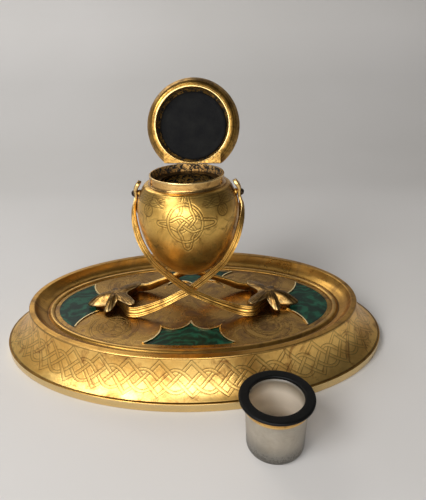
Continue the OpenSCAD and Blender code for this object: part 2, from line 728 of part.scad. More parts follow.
module at_liner() {
    translate([liner_x, -liner_y, 0]) children();
}
module glass_liner() {
    top = liner_h - ring_t;
    foot = 3;
    color([0.75, 0.78, 0.78, 0.6]) at_liner() difference() {
        rotate_extrude() polygon(concat(
            [[0, 0], [glass_foot_r - foot, 0]],
            [for (a = [-60:30:0]) [glass_foot_r - foot + foot * cos(a), foot + foot * sin(a)]],
            [[glass_r, top - collar_h], [glass_r, top], [0, top]]));
        translate([0, 0, 5])
            cylinder(h = top, r1 = glass_foot_r - glass_t, r2 = glass_r - glass_t + 0.4);
    }
}
module liner_collar() {
    color(gilt) at_liner() translate([0, 0, liner_h - ring_t - collar_h]) difference() {
        cylinder(h = collar_h, r = collar_r);
        translate([0, 0, -1]) cylinder(h = collar_h + 2, r = glass_r + 0.05);
    }
}
module liner_ring() {
    color(black) at_liner() translate([0, 0, liner_h - ring_t]) difference() {
        cylinder(h = ring_t, r = ring_r);
        translate([0, 0, -1]) cylinder(h = ring_t + 2, r = glass_r - glass_t + 0.2);
    }
}

base_casting();
tray_floor();
malachite_front();
malachite_back();
malachite_left();
malachite_right();
floor_screws();
strap_left();
strap_right();
leaf_clip_left();
leaf_clip_right();
leaf_screws();
pot_body();
neck_ring();
liner_seat();
trunnion_studs();
trunnion_washers();
trunnion_nuts();
hinge_bracket();
hinge_pin();
lid_shell();
lid_hinge_leaf();
lid_pad();
glass_liner();
liner_collar();
liner_ring();
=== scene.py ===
import json
import math
import bpy
import numpy as np
from mathutils import Matrix, Vector


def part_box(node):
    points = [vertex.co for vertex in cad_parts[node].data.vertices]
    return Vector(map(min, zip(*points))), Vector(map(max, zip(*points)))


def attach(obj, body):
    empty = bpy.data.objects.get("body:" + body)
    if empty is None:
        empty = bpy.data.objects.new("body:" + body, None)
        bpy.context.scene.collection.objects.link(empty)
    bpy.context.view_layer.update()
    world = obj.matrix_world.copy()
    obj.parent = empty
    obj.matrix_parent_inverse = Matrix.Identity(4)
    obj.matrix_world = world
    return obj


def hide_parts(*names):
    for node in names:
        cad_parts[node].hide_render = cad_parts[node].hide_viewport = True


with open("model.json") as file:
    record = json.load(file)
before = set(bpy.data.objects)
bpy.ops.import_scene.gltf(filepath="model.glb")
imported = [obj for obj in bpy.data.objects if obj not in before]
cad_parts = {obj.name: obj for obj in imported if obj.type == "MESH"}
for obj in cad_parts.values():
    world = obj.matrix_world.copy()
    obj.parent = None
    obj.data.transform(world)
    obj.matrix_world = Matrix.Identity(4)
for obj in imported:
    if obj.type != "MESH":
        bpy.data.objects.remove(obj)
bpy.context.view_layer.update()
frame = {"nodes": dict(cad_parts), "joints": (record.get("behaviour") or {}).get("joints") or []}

# Camera: it stands in front of the desk and a little above the open lid, and looks down
# at the tray. Its place was fitted to the ovals of the tray, so it has no easy numbers.
camera_at = (0.026513, -0.325702, 0.223967)
camera_turn, camera_dip, camera_lean = -0.028, 0.435, -0.026
forward = np.array([math.sin(camera_turn) * math.cos(camera_dip),
                    math.cos(camera_turn) * math.cos(camera_dip), -math.sin(camera_dip)])
level = np.array([math.cos(camera_turn), -math.sin(camera_turn), 0.0])
rise = np.cross(level, forward)
right = math.cos(camera_lean) * level + math.sin(camera_lean) * rise
top = -math.sin(camera_lean) * level + math.cos(camera_lean) * rise
camera = bpy.data.objects.new("camera", bpy.data.cameras.new("camera"))
bpy.context.scene.collection.objects.link(camera)
camera.data.sensor_width = 36
camera.data.lens = 33.70
camera.data.clip_end = 20
camera.matrix_world = Matrix([[right[i], top[i], -forward[i], camera_at[i]] for i in range(3)]
                             + [[0, 0, 0, 1]])
bpy.context.scene.camera = camera


# Tray casting: an oval rim and a hollow-curved skirt, cast in bronze in one piece, then
# engraved with an interlace of double lines and fire-gilt. The rim and the foot band are
# burnished, and dirt stays in the engraved lines.
rim_a, rim_b, band_h, cast_t = 129.3, 81.6, 6.8, 3.0
field_a, field_b, floor_z = 107.7, 56.6, 25.2


def corners(node):
    """A CAD node's lowest and highest corners at rest, in mm."""
    return np.round(np.array(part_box(node)) * 1000, 2)


foot_a, foot_b, rim_z = corners("base_casting")[1]


def linear(code):
    """An sRGB hex colour as linear RGBA."""
    parts = [int(code[i:i + 2], 16) / 255 for i in (1, 3, 5)]
    return [p / 12.92 if p <= 0.04045 else ((p + 0.055) / 1.055) ** 2.4 for p in parts] + [1.0]


def add(tree, kind, inputs=(), stops=(), out=0, **settings):
    """Adds a node with its settings, sets or links its inputs, and returns one output. A hex
    string is a colour."""
    node = tree.nodes.new("ShaderNode" + kind)
    for key, value in settings.items():
        setattr(node, key, value)
    for n, (place, shade) in enumerate(stops):
        ramp = node.color_ramp.elements
        stop = ramp[n] if n < 2 else ramp.new(place)
        stop.position = place
        stop.color = linear(shade) if isinstance(shade, str) else (shade, shade, shade, 1)
    for key, value in dict(inputs).items():
        if isinstance(value, bpy.types.NodeSocket):
            tree.links.new(value, node.inputs[key])
        else:
            node.inputs[key].default_value = linear(value) if isinstance(value, str) else value
    return node.outputs[out] if node.outputs else None


def oval(a, b, z, around):
    """Points round the Z axis, with rows of half lengths, half widths and heights."""
    return np.stack([a * np.cos(around), b * np.sin(around),
                     np.broadcast_to(z, np.broadcast(a, around).shape)], -1)


def skin(name, body, finish, grid, marks=None, across=True, along=False):
    """A smooth piece over rows and columns of points in mm. across joins the last column to
    the first and along the last row to the first. marks are values kept at the points."""
    rows, columns = grid.shape[:2]
    r, c = np.meshgrid(np.arange(rows if along else rows - 1),
                       np.arange(columns if across else columns - 1), indexing="ij")
    r2, c2 = (r + 1) % rows, (c + 1) % columns
    quads = np.stack([r * columns + c, r * columns + c2, r2 * columns + c2, r2 * columns + c],
                     -1).reshape(-1, 4)
    points = grid.reshape(-1, 3)
    middle = points.mean(0)
    p = [points[quads[:, i]] - middle for i in range(4)]
    if np.einsum("ij,ij->i", p[0], np.cross(p[1], p[2]) + np.cross(p[2], p[3])).sum() < 0:
        quads = quads[:, ::-1]
    mesh = bpy.data.meshes.new(name)
    mesh.vertices.add(len(points))
    mesh.vertices.foreach_set("co", (points / 1000).astype(np.float32).ravel())
    mesh.loops.add(quads.size)
    mesh.loops.foreach_set("vertex_index", quads.astype(np.int32).ravel())
    mesh.polygons.add(len(quads))
    mesh.polygons.foreach_set("loop_start", np.arange(0, quads.size, 4, dtype=np.int32))
    mesh.polygons.foreach_set("use_smooth", np.ones(len(quads), bool))
    for key, values in (marks or {}).items():
        values = np.broadcast_to(values, (rows, columns)).astype(np.float32)
        mesh.attributes.new(key, "FLOAT", "POINT").data.foreach_set("value", values.ravel())
    mesh.update(calc_edges=True)
    mesh.materials.append(finish)
    piece = bpy.data.objects.new(name, mesh)
    bpy.context.scene.collection.objects.link(piece)
    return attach(piece, body)


def blank(name):
    """An empty material, its node tree and a point's place in its object, in metres."""
    material = bpy.data.materials.new(name)
    material.use_nodes = True
    tree = material.node_tree
    tree.nodes.clear()
    return material, tree, add(tree, "TexCoord", out="Object")


def gilding(name, pale, deep, tarnish, cloud_mm, tarnish_share, rough, grain=0.06,
            dirt_and_shade_share=0.8):
    """Gilt bronze: worn gold over bronze, with clouds of tarnish, dirt and painted shade where
    'cut' is 1, bright metal where 'rub' is 1 and dried ink where 'soot' is 1."""
    material, tree, place = blank(name)
    cut, rub, soot = [add(tree, "Attribute", out="Fac", attribute_name=mark)
                      for mark in ("cut", "rub", "soot")]
    cloud = add(tree, "TexNoise", {"Vector": place, "Scale": 1000 / cloud_mm, "Detail": 4,
                                   "Roughness": 0.6, "Distortion": 0.6})
    # Pits and rubbed spots are 0.3 mm on the metal; they are drawn at 1.6 mm to show
    speck = add(tree, "TexNoise", {"Vector": place, "Scale": 1000 / 1.6, "Detail": 5,
                                   "Roughness": 0.7})
    stain = add(tree, "TexNoise", {"Vector": place, "Scale": 1000 / (cloud_mm * 0.42),
                                   "Detail": 6, "Roughness": 0.68, "Distortion": 1.2})
    gold = add(tree, "ValToRGB", {"Fac": cloud}, stops=[(0.36, deep), (0.62, pale)])
    fleck = add(tree, "ValToRGB", {"Fac": speck}, stops=[(0.36, 0.82), (0.62, 1.0)])
    gold = add(tree, "MixRGB", {"Fac": 0.5, "Color1": gold, "Color2": fleck},
               blend_type="MULTIPLY")
    stained = add(tree, "ValToRGB", {"Fac": stain},
                  stops=[(0.60 - 0.3 * tarnish_share, 0.0), (0.74 - 0.25 * tarnish_share, 0.85)])
    gold = add(tree, "MixRGB", {"Fac": stained, "Color1": gold, "Color2": tarnish})
    gold = add(tree, "MixRGB", {"Fac": rub, "Color1": gold, "Color2": "#f6dca0"})
    # Dirt, and painted shade on the pot's shoulder and under the rim's edge, mix in dark brown
    dirt_and_shade = add(tree, "Math", {0: cut, 1: dirt_and_shade_share}, operation="MULTIPLY")
    gold = add(tree, "MixRGB", {"Fac": dirt_and_shade, "Color1": gold, "Color2": "#2e1c0c"})
    # Ink has dried in patches some 3 mm wide
    ink = add(tree, "TexNoise", {"Vector": place, "Scale": 1000 / 3.0, "Detail": 5,
                                 "Roughness": 0.75, "Distortion": 0.8})
    ink = add(tree, "ValToRGB", {"Fac": ink}, stops=[(0.48, 1.0), (0.55, 0.02)])
    ink = add(tree, "Math", {0: ink, 1: soot}, operation="MULTIPLY")
    gold = add(tree, "MixRGB", {"Fac": ink, "Color1": gold, "Color2": "#15130f"})
    worn = add(tree, "MapRange", {"Value": stain, "From Min": 0.3, "From Max": 0.7,
                                  "To Min": rough - 0.06, "To Max": rough + 0.12})
    worn = add(tree, "MapRange", {"Value": rub, "To Min": worn, "To Max": 0.2})
    worn = add(tree, "Math", {0: soot, 1: 0.32, 2: worn}, operation="MULTIPLY_ADD")
    worn = add(tree, "Math", {0: worn, 1: ink}, operation="ADD", use_clamp=True)
    height = add(tree, "Math", {0: cut, 1: -0.6, 2: speck}, operation="MULTIPLY_ADD")
    relief = add(tree, "Bump", {"Height": height, "Strength": grain, "Distance": 0.0004})
    metal = add(tree, "Math", {0: ink, 1: -0.8, 2: 1.0}, operation="MULTIPLY_ADD")
    shader = add(tree, "BsdfPrincipled", {"Base Color": gold, "Roughness": worn,
                                          "Metallic": metal, "Normal": relief})
    add(tree, "OutputMaterial", {"Surface": shader})
    return material


# Cast bronze, chased and fire-gilt: a warm, half-matt gold that is clouded with brown
cast_gilt = gilding("fire_gilt_bronze_chased", "#f8cd78", "#e3b05c", "#9c6c38",
                    cloud_mm=34, tarnish_share=0.28, rough=0.35, dirt_and_shade_share=0.9)
# The same metal on the rim and the wall inside it: handled more, browner and smoother
rim_gilt = gilding("fire_gilt_bronze_worn_rim", "#bd9048", "#997132", "#78592f",
                   cloud_mm=60, tarnish_share=0.35, rough=0.3)

# Columns stand an equal way apart along the rim, 44 for each of the 32 repeats
repeats, per_repeat = 32, 44
fine = np.linspace(0, 2 * math.pi, 40001)
step = np.hypot(np.diff((rim_a + 0.3) * np.cos(fine)), np.diff((rim_b + 0.2) * np.sin(fine)))
way = np.concatenate([[0], np.cumsum(step)])
rim_length = way[-1]
pitch = rim_length / repeats
columns = np.arange(repeats * per_repeat) / (repeats * per_repeat) * rim_length
turn = np.interp(columns, way, fine)


def swing(s):
    """A triangle wave from -1 to 1 that repeats every 2, with its top at 0."""
    return 1 - 2 * np.abs(((s + 1) % 2) - 1)


def interlace(s, t, height_mm):
    """Double engraved lines of an interlace: s counts repeats along the band, and t goes from
    0 at its foot to 1 at its top. Four strands run over and under each other."""
    strands = []
    for start in (0, 1):
        zig = swing(s - start)
        strands.append((0.55 + 0.38 * zig, 0.76 * np.sign(swing(s - start + 0.001) - zig)))
        arc = swing(s - start - 0.5)
        slope = 0.25 * math.pi * np.cos(math.pi / 2 * arc)
        strands.append((0.5 + 0.25 * np.sin(math.pi / 2 * arc),
                        slope * np.sign(swing(s - start - 0.499) - arc)))
    away = [(t - f) * height_mm / np.sqrt(1 + (g * height_mm / pitch) ** 2)
            for f, g in strands]
    rising_over = (np.round((t - 0.5) / 0.24) % 2) == 0
    # The lines are cut 0.3 mm wide on the metal; they are drawn 0.5 mm wide to show
    cut = np.zeros(np.broadcast(s, t).shape)
    half_strand = 1.15
    for i, (_, g) in enumerate(strands):
        line = np.exp(-((np.abs(away[i]) - half_strand) / 0.27) ** 2)
        line = np.maximum(line, 0.3 * np.exp(-(away[i] / 0.2) ** 2))
        hidden = np.zeros_like(cut)
        for j, (_, g2) in enumerate(strands):
            if j != i:
                above = np.where(rising_over, (g2 > 0) & (g < 0), (g2 < 0) & (g > 0))
                hidden = np.maximum(hidden, above * (np.abs(away[j]) < half_strand))
        cut = np.maximum(cut, line * (1 - hidden))
    return cut


# The skirt follows a circle from 20 to 80 degrees, stretched to its width and height
skirt_rows = 68
u = np.radians(np.linspace(20, 80, skirt_rows))
flare = 1 - (np.sin(u) - math.sin(u[0])) / (math.sin(u[-1]) - math.sin(u[0]))
lift = (math.cos(u[0]) - np.cos(u)) / (math.cos(u[0]) - math.cos(u[-1]))
skirt_z = band_h + (rim_z - 0.6 - band_h) * lift
skirt_a = rim_a + (foot_a - 1.5 - rim_a) * flare
skirt_b = rim_b + (foot_b - 1.5 - rim_b) * flare
skirt_way = np.concatenate([[0], np.cumsum(np.hypot(np.diff(skirt_a), np.diff(skirt_z)))])
skirt_t = (skirt_way / skirt_way[-1])[:, None]
# The pattern's top stands 3.9 mm to the right of the front's middle
engraved_and_shade = interlace((columns[None, :] - 0.75 * rim_length - 3.9) / pitch, skirt_t,
                     skirt_way[-1])
# The lines are worn shallow on the tray's left and right ends
worn_ends = 0.55 + 0.45 * np.abs(np.sin(turn))
engraved_and_shade = engraved_and_shade * worn_ends[None] * (skirt_t < 0.975) * (skirt_t > 0.02)
# Painted shade: a dark line under the rim's edge, also cut 0.14 mm into the skirt
engraved_and_shade = np.maximum(engraved_and_shade, 0.7 * np.exp(-((skirt_t - 0.985) / 0.006) ** 2))
engraved_and_shade = np.maximum(engraved_and_shade, 0.9 * np.exp(-((skirt_t - 0.004) / 0.01) ** 2))
depth = 0.2 * engraved_and_shade
skirt_grid = oval(skirt_a[:, None] - depth, skirt_b[:, None] - depth, skirt_z[:, None], turn)
tray_skirt = skin("tray_skirt", "base", cast_gilt, skirt_grid, {"cut": engraved_and_shade})
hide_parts("base_casting")

# The rest of the casting goes round in one loop: rim, wall, groove, bead, underside, foot.
# Down to the underside, its points are a way in from the rim's edge and a height
narrowing = (rim_b - field_b) / (rim_a - field_a)
bead = [(13.4 + 4.9 * k / 10, floor_z + 0.3 + 1.35 * math.sin(math.pi * k / 10) ** 0.7)
        for k in range(11)]
inward = [(0.12, 33.2), (0.3, 33.42), (0.6, rim_z), (1.3, rim_z), (2.4, 33.45), (3.5, rim_z),
          (3.8, rim_z), (4.2, 33.3), (4.45, 32.95), (4.7, 32.5), (5.4, 31.1), (6.4, 29.6),
          (7.5, 28.4), (8.8, 27.4), (10.2, 26.7), (11.8, 26.2), (12.2, 25.9), (12.5, 25.5),
          (12.7, 25.4), (13.1, 25.4)] + bead + [(18.3, 24.2), (18.3, 22.9), (8.8, 22.9),
          (5.3, 27.0)]
loop = [(rim_a - d, rim_b - d * narrowing, z) for d, z in inward]
loop += [(skirt_a[k] - cast_t, skirt_b[k] - cast_t, skirt_z[k] - 0.9)
         for k in range(skirt_rows - 8, -1, -6)]
loop += [(foot_a - 4, foot_b - 4, 0), (foot_a - 0.6, foot_b - 0.6, 0),
         (foot_a - 0.2, foot_b - 0.2, 0.2), (foot_a, foot_b, 0.7), (foot_a, foot_b, 3.4),
         (foot_a, foot_b, 6.0), (foot_a - 0.15, foot_b - 0.15, 6.4),
         (foot_a - 0.5, foot_b - 0.5, 6.65), (foot_a - 1.1, foot_b - 1.1, 6.72),
         (skirt_a[0], skirt_b[0], skirt_z[0])]
loop = np.array([(skirt_a[-1], skirt_b[-1], skirt_z[-1])] + loop)
round_rim = np.interp(np.arange(480) / 480 * rim_length, way, fine)
rim_grid = oval(loop[:, :1], loop[:, 1:2], loop[:, 2:], round_rim)
# The rim's edge, the bead and the foot band are rubbed, and the groove holds dirt
rubbed = np.zeros(len(loop))
rubbed[1:3] = 0.15
rubbed[len(inward) - 10:len(inward) - 5] = 0.1
rubbed[-8:-4] = 0.7
dirty = np.zeros(len(loop))
dirty[18:21] = 0.8
dirty[-2:] = 0.7
tray_rim = skin("tray_rim", "base", rim_gilt, rim_grid,
                {"rub": rubbed[:, None], "cut": dirty[:, None]})


# Tray floor: a thin gilt plate with raised, polished fillets round four sunk panels. Each
# of its four corners is engraved with a ringed knot, and eight screws hold it from below.
medal_x, medal_y = 57.0, 32.4


def dress(finish, *nodes):
    """Gives CAD nodes a material."""
    for node in nodes:
        materials = frame["nodes"][node].data.materials
        materials.clear()
        materials.append(finish)


# Thin gilding, rubbed through to reddish bronze, and clouded with violet-brown tarnish
floor_gilt = gilding("thin_gilt_bronze_floor", "#ae8849", "#8b6831", "#6c5138",
                     cloud_mm=46, tarnish_share=0.45, rough=0.25)
tree = floor_gilt.node_tree
shader = next(n for n in tree.nodes if n.type == "BSDF_PRINCIPLED")
place = add(tree, "TexCoord", out="Object")
mm = add(tree, "VectorMath", {0: place, 1: (1000, 1000, 1000)}, operation="MULTIPLY")
quarter = add(tree, "VectorMath", {0: mm}, operation="ABSOLUTE")
flat = add(tree, "VectorMath", {0: quarter, 1: (1, 1, 0)}, operation="MULTIPLY")
knot_lines = 0.0
# Ring arcs of the knot: offset from the corner's centre and radius. The lines are 0.3 mm wide
# on the plate and are drawn 0.7 mm wide to show
for dx, dy, r in ((0, 0, 9.5), (0, 0, 12), (-6.5, 0, 7), (6.5, 0, 7), (0, -6, 7), (0, 6, 7),
                  (-13, 0, 4.5), (13, 0, 4.5), (0, 0, 17), (0, 0, 18.6)):
    off = add(tree, "VectorMath", {0: flat, 1: (medal_x + dx, medal_y + dy, 0)}, out="Value",
              operation="DISTANCE")
    off = add(tree, "Math", {0: off, 1: r}, operation="SUBTRACT")
    off = add(tree, "Math", {0: off}, operation="ABSOLUTE")
    line = add(tree, "MapRange", {"Value": off, "From Min": 0.2, "From Max": 0.5,
                                  "To Min": 0.42, "To Max": 0.0})
    knot_lines = add(tree, "Math", {0: knot_lines, 1: line}, operation="MAXIMUM")
# The fillets stand 0.8 mm above the plate and are polished
high = add(tree, "SeparateXYZ", {0: mm}, out="Z")
fillet = add(tree, "MapRange", {"Value": high, "From Min": floor_z + 0.15,
                                "From Max": floor_z + 0.6})
gold = shader.inputs["Base Color"].links[0].from_socket
gold = add(tree, "MixRGB", {"Fac": knot_lines, "Color1": gold, "Color2": "#3d2816"})
gold = add(tree, "MixRGB", {"Fac": fillet, "Color1": gold, "Color2": "#f3dca4"})
tree.links.new(gold, shader.inputs["Base Color"])
polish = shader.inputs["Roughness"].links[0].from_socket
polish = add(tree, "MapRange", {"Value": fillet, "To Min": polish, "To Max": 0.18})
tree.links.new(polish, shader.inputs["Roughness"])
sunk = add(tree, "Math", {0: knot_lines, 1: -1.0}, operation="MULTIPLY")
relief = shader.inputs["Normal"].links[0].from_socket
relief = add(tree, "Bump", {"Height": sunk, "Strength": 0.5, "Distance": 0.0003,
                            "Normal": relief})
tree.links.new(relief, shader.inputs["Normal"])
dress(floor_gilt, "tray_floor", "floor_screws", "leaf_screws")

# Malachite panels: sawn slices, set in the floor's pockets, ground flat and polished. The
# stone is so dark that its bands show only faintly.
malachite, tree, place = blank("polished_dark_malachite")
drift = add(tree, "TexNoise", {"Vector": place, "Scale": 1000 / 26, "Detail": 3}, out="Color")
bent = add(tree, "VectorMath", {0: drift, 1: (0.03, 0.03, 0.03), 2: place},
           operation="MULTIPLY_ADD")
# Bands are 1 to 3 mm wide
bands = add(tree, "TexWave", {"Vector": bent, "Scale": 1000 / 2.6 / 6.283, "Distortion": 5.0,
                              "Detail": 3, "Detail Scale": 2.2}, wave_type="RINGS")
green = add(tree, "ValToRGB", {"Fac": bands},
            stops=[(0.0, "#08251a"), (1.0, "#17503a"), (0.35, "#0a2e20"), (0.7, "#0f3a29")])
deep_patch = add(tree, "TexNoise", {"Vector": place, "Scale": 1000 / 14, "Detail": 4})
deep_patch = add(tree, "ValToRGB", {"Fac": deep_patch}, stops=[(0.35, 0.6), (0.65, 1.0)])
green = add(tree, "MixRGB", {"Fac": 1.0, "Color1": green, "Color2": deep_patch},
            blend_type="MULTIPLY")
scuff = add(tree, "TexNoise", {"Vector": place, "Scale": 1000 / 1.2, "Detail": 4})
gloss = add(tree, "MapRange", {"Value": scuff, "From Min": 0.35, "From Max": 0.7,
                               "To Min": 0.28, "To Max": 0.42})
relief = add(tree, "Bump", {"Height": bands, "Strength": 0.08, "Distance": 0.0002})
shader = add(tree, "BsdfPrincipled", {"Base Color": green, "Roughness": gloss, "IOR": 1.65,
                                      "Specular IOR Level": 0.12, "Normal": relief})
add(tree, "OutputMaterial", {"Surface": shader})
dress(malachite, "malachite_front", "malachite_back", "malachite_left", "malachite_right")


# Straps: two rolled bands of gilt bronze that carry the pot between them. Each starts at a
# tab on the trunnion, crosses the other below the pot, and bends round to its foot on the
# tray. Two deep grooves and two fine lines run along the outer face.
joint_of = {joint["name"]: joint for joint in frame["joints"]}
foot_line, trunnion_z = 29.3, round(joint_of["pot_tilt"]["pos_m"][2] * 1000, 2)
strap_t, strap_gap, cross_span, foot_w = 2.0, 0.5, 22.0, 8.2
tab_x, tab_low_z, tab_straight, tab_lean, tab_tip, tip_r = 37.4, 115.8, 6.1, 30, 7.3, 3.5
# A point holds x, y and z of the strap's middle, the direction that its face looks in, and
# its width. The last ones lie under the leaf clip.
strap_route = np.array([
    [-tab_x, 0.4, 120, 175, 4.6], [-tab_x - 0.15, -0.9, 116, 180, 4.6],
    [-39.4, -4.3, 110, 205, 4.6], [-38.8, -9.6, 103, 232, 4.6], [-36.9, -14.3, 95.5, 252, 4.6],
    [-34.2, -17.2, 87.5, 264, 4.6], [-30.1, -19, 79.5, 270, 4.6], [-24.3, -19.4, 70.5, 270, 4.8],
    [-13.4, -19.5, 59.5, 270, 5.4], [0, -19.5, 48, 270, 6.0], [8.5, -19.5, 43.2, 270, 6.0],
    [17.5, -19.5, 38.6, 270, 5.8], [28, -19.5, 34.2, 270, 7.0],
    [37, -19, foot_line + 1.3, 270, 7.8], [44, -19.2, foot_line, 270, foot_w],
    [48.6, -18.2, foot_line, 292, foot_w], [51, -14.8, foot_line, 318, foot_w],
    [56, -7.2, foot_line, 324, foot_w], [59.8, -2.4, foot_line, 336, foot_w],
    [61, 0, foot_line, 360, foot_w], [59.8, 2.4, foot_line, 384, foot_w]])
# Rolled, hammered and fire-gilt: an even, darker gold with clean edges
strap_gilt = gilding("fire_gilt_bronze_strap", "#d3a556", "#a67c38", "#735428",
                     cloud_mm=22, tarnish_share=0.3, rough=0.3, grain=0.04)


def unit(v):
    """Each vector in an array at length 1."""
    return v / np.linalg.norm(v, axis=-1, keepdims=True)


def strap_section(width):
    """Half of the strap's thickness at points across it, from edge to edge, and its marks."""
    side = np.concatenate([[-0.5], np.linspace(-0.49, 0.49, 41), [0.5]])
    # Grooves are 0.3 mm wide on the strap and are drawn up to 0.7 mm wide to show
    groove = np.exp(-((np.abs(side) - 0.16) / 0.05) ** 2)
    line = np.exp(-((np.abs(side) - 0.35) / 0.04) ** 2)
    edge = np.clip((np.abs(side) - 0.46) / 0.04, 0, 1) ** 2
    thick = strap_t / 2 - 0.3 * groove - 0.16 * line - 0.45 * edge
    return side * width, thick, np.clip(0.85 * groove + 0.7 * line, 0, 1), 0.4 * edge


def strap_leg(name, inner, mirror_y, half_turn):
    """One leg of a strap from its tab down to the middle of its foot."""
    route = strap_route.copy()
    if inner:
        shift = np.cos(np.radians(90 * np.minimum(1, np.abs(route[:, 0]) / cross_span)))
        route[:, 1] += (strap_t + strap_gap) * shift
    stations = []
    for k in range(1, len(route) - 2):
        a, b, c, d = route[k - 1:k + 3]
        for t in np.linspace(0, 1, 12, endpoint=k == len(route) - 3):
            stations.append(b + (c - a) * t / 2 + (2 * a - 5 * b + 4 * c - d) * t * t / 2
                            + (3 * b - a - 3 * c + d) * t ** 3 / 2)
    stations = np.array(stations)
    stations[:, 2] = np.maximum(stations[:, 2], foot_line)
    stations[:, 4] = np.minimum(stations[:, 4], foot_w)
    run = unit(np.gradient(stations[:, :3], axis=0))
    run[-1] = (0, 1, 0)
    look = np.radians(stations[:, 3])
    look = np.stack([np.cos(look), np.sin(look), 0 * look], -1)
    wide = unit(np.cross(run, look))
    out = unit(np.cross(wide, run))
    # The face leans back from the crossing down to the bend, so that it shows from above
    lean = np.interp(stations[:, 0], (2, 14, 42, 50, 56), (0, 22, 22, 14, 0))
    lean = np.radians(lean * (stations[:, 2] < 50))[:, None]
    upward = np.sign(wide[:, 2:])
    # Leaning, its lower edge would come closer to the floor, so the strap is lifted a little
    stations[:, 2] += 0.14 * np.sin(lean[:, 0] * 4)
    out, wide = (unit(out * np.cos(lean) + wide * upward * np.sin(lean)),
                 unit(wide * np.cos(lean) - out * upward * np.sin(lean)))
    side, thick, cut, rub = strap_section(1.0)
    face = (stations[:, None, :3] + wide[:, None] * (side[None, :, None] * stations[:, None, 4:5])
            + out[:, None] * thick[None, :, None])
    back = (stations[:, None, :3]
            + wide[:, None] * (np.array([0.5, 0.46, 0, -0.46, -0.5])[None, :, None]
                               * stations[:, None, 4:5])
            - out[:, None] * np.array([0.6, 1.0, 1.0, 1.0, 0.6])[None, :, None])
    grid = np.concatenate([face, back], 1)
    for end in (0, -1):
        middle = grid[end].mean(0)
        cap = middle + (grid[end] - middle) * 0.02
        grid = np.concatenate([[cap], grid] if end == 0 else [grid, [cap]])
    if mirror_y:
        grid = grid * (1, -1, 1)
    if half_turn:
        grid = grid * (-1, -1, 1)
    return skin(name, "base", strap_gilt, grid,
                {"cut": np.concatenate([cut, np.zeros(5)])[None],
                 "rub": np.concatenate([rub, np.zeros(5)])[None]})


def strap_tab(name, half_turn):
    """The tab on the trunnion: it widens round the stud, leans in and ends in a round tip."""
    way = np.concatenate([[0, 0.6, 1.5, 2.4, 3.3, 4.2, 5.0, tab_straight],
                          tab_straight + np.linspace(0.5, tab_tip, 18)])
    straight = np.minimum(way, tab_straight)
    leaning = way - straight
    lean = math.radians(tab_lean)
    z = tab_low_z + straight + leaning * math.cos(lean)
    x = -tab_x + leaning * math.sin(lean)
    past_round = np.clip(leaning - (tab_tip - tip_r), 0, tip_r)
    half = np.where(way < tab_straight, tip_r - 0.1,
                    np.sqrt(np.clip(tip_r ** 2 - past_round ** 2, 0.02, 99)))
    around = np.linspace(0, 2 * math.pi, 32, endpoint=False)
    square_y = np.sign(np.cos(around)) * np.abs(np.cos(around)) ** 0.55
    square_x = np.sign(np.sin(around)) * np.abs(np.sin(around)) ** 0.35
    # Outside, the tip is swollen like a lug that was upset under the hammer
    swell = (0.8 * np.clip((way - 4) / 4, 0, 1)
             * np.clip((tab_tip + 0.5 - leaning) / 4.5, 0, 1) ** 0.5)
    thick = 1.05 * square_x + swell[:, None] * np.clip(square_x, -1, 0)
    grid = np.stack([x[:, None] + thick * math.cos(lean / 2), half[:, None] * square_y,
                     z[:, None] - thick * np.where(leaning > 0, math.sin(lean), 0)[:, None]], -1)
    grid = np.concatenate([[grid[0].mean(0) + (grid[0] - grid[0].mean(0)) * 0.02], grid,
                           [grid[-1].mean(0) + (grid[-1] - grid[-1].mean(0)) * 0.02]])
    edge = np.abs(square_y) ** 6
    if half_turn:
        grid = grid * (-1, -1, 1)
    return skin(name, "base", strap_gilt, grid, {"rub": 0.35 * edge[None]})


for side, half_turn in (("left", False), ("right", True)):
    pieces = [strap_leg("strap_%s_outer_leg" % side, False, False, half_turn),
              strap_leg("strap_%s_inner_leg" % side, True, True, half_turn),
              strap_tab("strap_%s_tab" % side, half_turn)]
    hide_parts("strap_" + side)


# Leaf clips: a cast bronze leaf over each strap's foot, with veins chased into its lobes and
# its edges curled over. A screw from below pulls it down.
leaf_x, leaf_t, leaf_core = 61.0, 1.5, 8.5
leaf_z = corners("leaf_clip_right")[1][2]
# Each lobe's direction, reach and spread
leaf_lobes = ((-9, 23.6, 24), (-68, 17.2, 24), (68, 17.2, 24), (-133, 24, 19), (133, 24, 19))
# Cast and punched, thinly gilt: a brown gold that is dark in every hollow
leaf_gilt = gilding("fire_gilt_bronze_leaf", "#c59a56", "#86663a", "#574326",
                    cloud_mm=6, tarnish_share=0.5, rough=0.34, dirt_and_shade_share=0.95)
angle = np.arange(240) * 1.5
gap = [np.abs((angle - lobe[0] + 540) % 360 - 180) for lobe in leaf_lobes]
reach = leaf_core + np.max([(lobe[1] - leaf_core) * np.exp(-(g / lobe[2]) ** 2)
                            for g, lobe in zip(gap, leaf_lobes)], 0)
# The lobes droop by 2.1 mm over the strap, and elsewhere down to 1.1 mm above the floor
strap_droop, floor_gap = 2.1, 1.1
fall = strap_droop + (leaf_z - floor_z - leaf_t - floor_gap - strap_droop) * np.clip(
    (np.cos(np.radians(angle)) + 0.3) / 0.5, 0, 1)
share = np.linspace(0.02, 1, 28)[:, None]
radius = share * reach[None]
top_z = leaf_z - fall[None] * share ** 2.9
